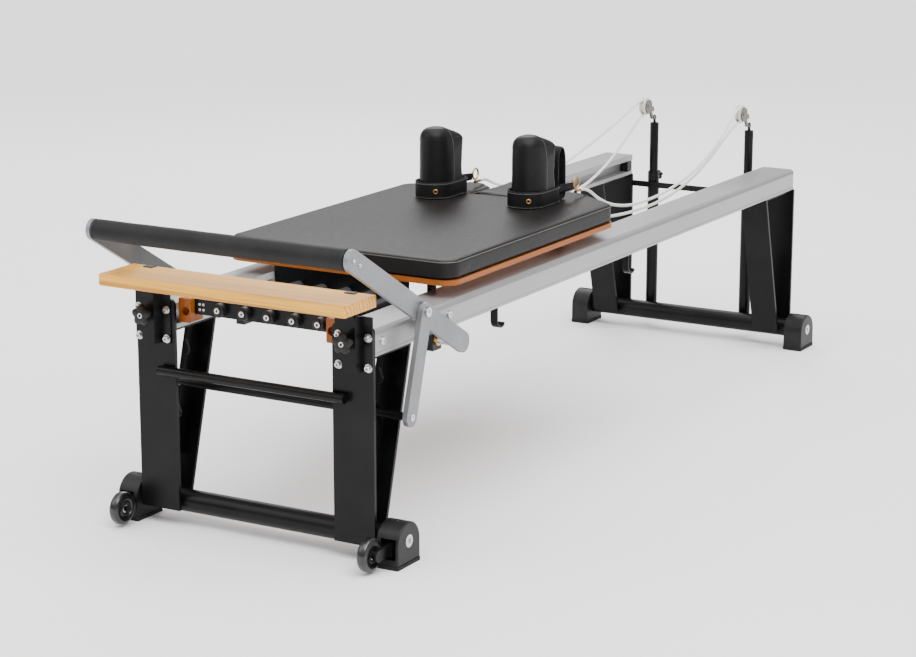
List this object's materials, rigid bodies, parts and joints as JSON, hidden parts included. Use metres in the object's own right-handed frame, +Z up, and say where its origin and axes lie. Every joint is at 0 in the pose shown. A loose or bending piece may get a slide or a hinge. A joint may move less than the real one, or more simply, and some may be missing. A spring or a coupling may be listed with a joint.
{
  "type": "pilates reformer",
  "caption": "Pilates reformer with a padded sliding carriage on raised aluminium rails, footbar, standing platform, shoulder rests and rope pulleys.",
  "frame": {"origin": "on the floor under the middle of the object", "axes": "+X from the foot end to the head end, +Z up"},
  "size_m": [2.5125, 0.752, 0.7865],
  "materials": {
    "aluminium": "satin",
    "black_paint": "satin",
    "black_plastic": "moulded",
    "plywood": "oiled",
    "light_wood": "lacquered",
    "rubber": "matte",
    "tyre": "glossy",
    "steel": "satin",
    "spring_steel": "bright",
    "bronze": "polished",
    "rope": "braided",
    "vinyl": "grained",
    "webbing": "woven",
    "foam": "foamed",
    "white_plastic": "moulded"
  },
  "bodies": {
    "frame": {"left_rail": "aluminium", "right_rail": "aluminium", "rail_end_plugs": "black_plastic", "wood_end_blocks": "plywood", "foot_leg_left": "black_paint", "foot_leg_right": "black_paint", "head_leg_left": "black_paint", "head_leg_right": "black_paint", "lower_crossbars": "black_paint", "front_rod": "black_paint", "head_upper_crossbar": "black_paint", "foot_blocks": "black_plastic", "foot_pads": "rubber", "frame_bolts": "steel", "caster_brackets": "black_paint", "notched_plates": "black_paint", "rail_hooks": "black_paint", "platform_brackets": "black_paint", "bearing_blocks": "black_plastic", "bronze_bushes": "bronze", "spring_bar": "black_paint", "spring_anchors": "black_plastic", "springs": "spring_steel", "riser_sleeves": "black_paint", "rope_left": "rope", "rope_right": "rope"},
    "platform": {"platform_board": "light_wood", "platform_posts": "black_paint"},
    "platform_knob_left": {"platform_knob_left": "black_plastic"},
    "platform_knob_right": {"platform_knob_right": "black_plastic"},
    "footbar": {"footbar_arms": "aluminium", "pivot_stubs": "steel", "footbar_tube": "steel", "foam_grip": "foam", "footbar_screws": "steel"},
    "strut": {"struts": "aluminium", "strut_rod": "black_paint", "strut_foot_bolts": "steel"},
    "caster_left": {"caster_wheel_left": "tyre"},
    "caster_right": {"caster_wheel_right": "tyre"},
    "carriage": {"carriage_board": "plywood", "carriage_pad": "vinyl", "hand_loops": "webbing", "loop_rings": "bronze", "carriage_hangers": "steel"},
    "front_wheels": {"front_track_wheels": "white_plastic"},
    "rear_wheels": {"rear_track_wheels": "white_plastic"},
    "headrest": {"headrest_board": "plywood", "headrest_pad": "vinyl", "headrest_hinge": "steel"},
    "rest_left": {"shoulder_rest_left": "vinyl"},
    "rest_right": {"shoulder_rest_right": "vinyl"},
    "riser_left": {"riser_tube_left": "black_paint"},
    "riser_right": {"riser_tube_right": "black_paint"},
    "riser_knob_left": {"riser_knob_left": "black_plastic"},
    "riser_knob_right": {"riser_knob_right": "black_plastic"},
    "pulley_left": {"pulley_block_left": "steel"},
    "pulley_right": {"pulley_block_right": "steel"},
    "sheave_left": {"sheave_left": "white_plastic"},
    "sheave_right": {"sheave_right": "white_plastic"}
  },
  "joints": [
    {"name": "carriage_slide", "type": "slide", "parent": "frame", "child": "carriage", "axis": [1, 0, 0], "range_m": [0, 0.93], "stiffness_N_per_m": 300, "springref_m": -0.05, "deforming": ["springs", "rope_left", "rope_right"]},
    {"name": "front_wheels_spin", "type": "hinge", "parent": "carriage", "child": "front_wheels", "pos_m": [-0.68925, 0, 0.4893], "axis": [0, 1, 0], "continuous": true},
    {"name": "rear_wheels_spin", "type": "hinge", "parent": "carriage", "child": "rear_wheels", "pos_m": [-0.06925, 0, 0.4893], "axis": [0, 1, 0], "continuous": true},
    {"name": "headrest_tilt", "type": "hinge", "parent": "carriage", "child": "headrest", "pos_m": [-0.00575, 0, 0.5455], "axis": [0, -1, 0], "range_deg": [0, 14]},
    {"name": "footbar_hinge", "type": "hinge", "parent": "frame", "child": "footbar", "pos_m": [-0.77725, 0, 0.429], "axis": [0, 1, 0], "range_deg": [0, 22]},
    {"name": "strut_swing", "type": "hinge", "parent": "footbar", "child": "strut", "pos_m": [-0.95825, 0, 0.5357], "axis": [0, 1, 0], "range_deg": [0, 8]},
    {"name": "platform_lift", "type": "slide", "parent": "frame", "child": "platform", "axis": [0, 0, 1], "range_m": [0, 0.055]},
    {"name": "platform_knob_left_turn", "type": "hinge", "parent": "frame", "child": "platform_knob_left", "pos_m": [-1.15925, 0.264, 0.497], "axis": [1, 0, 0], "range_deg": [0, 720]},
    {"name": "caster_left_spin", "type": "hinge", "parent": "frame", "child": "caster_left", "pos_m": [-1.16925, 0.33, 0.043], "axis": [0, 1, 0], "continuous": true},
    {"name": "shoulder_rest_left_lift", "type": "slide", "parent": "carriage", "child": "rest_left", "axis": [0, 0, 1], "range_m": [0, 0.12]},
    {"name": "riser_left_slide", "type": "slide", "parent": "frame", "child": "riser_left", "axis": [0, 0, 1], "range_m": [-0.03, 0.03]},
    {"name": "riser_knob_left_turn", "type": "hinge", "parent": "frame", "child": "riser_knob_left", "pos_m": [1.24075, 0.153, 0.455], "axis": [1, 0, 0], "range_deg": [0, 720]},
    {"name": "pulley_left_swivel", "type": "hinge", "parent": "riser_left", "child": "pulley_left", "pos_m": [1.21575, 0.153, 0.633], "axis": [0, 0, 1], "range_deg": [-20, 20]},
    {"name": "sheave_left_spin", "type": "hinge", "parent": "pulley_left", "child": "sheave_left", "pos_m": [1.14875, 0.153, 0.676], "axis": [0, 1, 0], "continuous": true},
    {"name": "platform_knob_right_turn", "type": "hinge", "parent": "frame", "child": "platform_knob_right", "pos_m": [-1.15925, -0.264, 0.497], "axis": [1, 0, 0], "range_deg": [0, 720]},
    {"name": "caster_right_spin", "type": "hinge", "parent": "frame", "child": "caster_right", "pos_m": [-1.16925, -0.33, 0.043], "axis": [0, 1, 0], "continuous": true},
    {"name": "shoulder_rest_right_lift", "type": "slide", "parent": "carriage", "child": "rest_right", "axis": [0, 0, 1], "range_m": [0, 0.12]},
    {"name": "riser_right_slide", "type": "slide", "parent": "frame", "child": "riser_right", "axis": [0, 0, 1], "range_m": [-0.03, 0.03]},
    {"name": "riser_knob_right_turn", "type": "hinge", "parent": "frame", "child": "riser_knob_right", "pos_m": [1.24075, -0.153, 0.455], "axis": [1, 0, 0], "range_deg": [0, 720]},
    {"name": "pulley_right_swivel", "type": "hinge", "parent": "riser_right", "child": "pulley_right", "pos_m": [1.21575, -0.153, 0.633], "axis": [0, 0, 1], "range_deg": [-20, 20]},
    {"name": "sheave_right_spin", "type": "hinge", "parent": "pulley_right", "child": "sheave_right", "pos_m": [1.14875, -0.153, 0.676], "axis": [0, 1, 0], "continuous": true}
  ],
  "couplings": [
    {"joint": "front_wheels_spin", "follows": "carriage_slide", "rad_per_m": 58.824},
    {"joint": "rear_wheels_spin", "follows": "carriage_slide", "rad_per_m": 58.824}
  ]
}
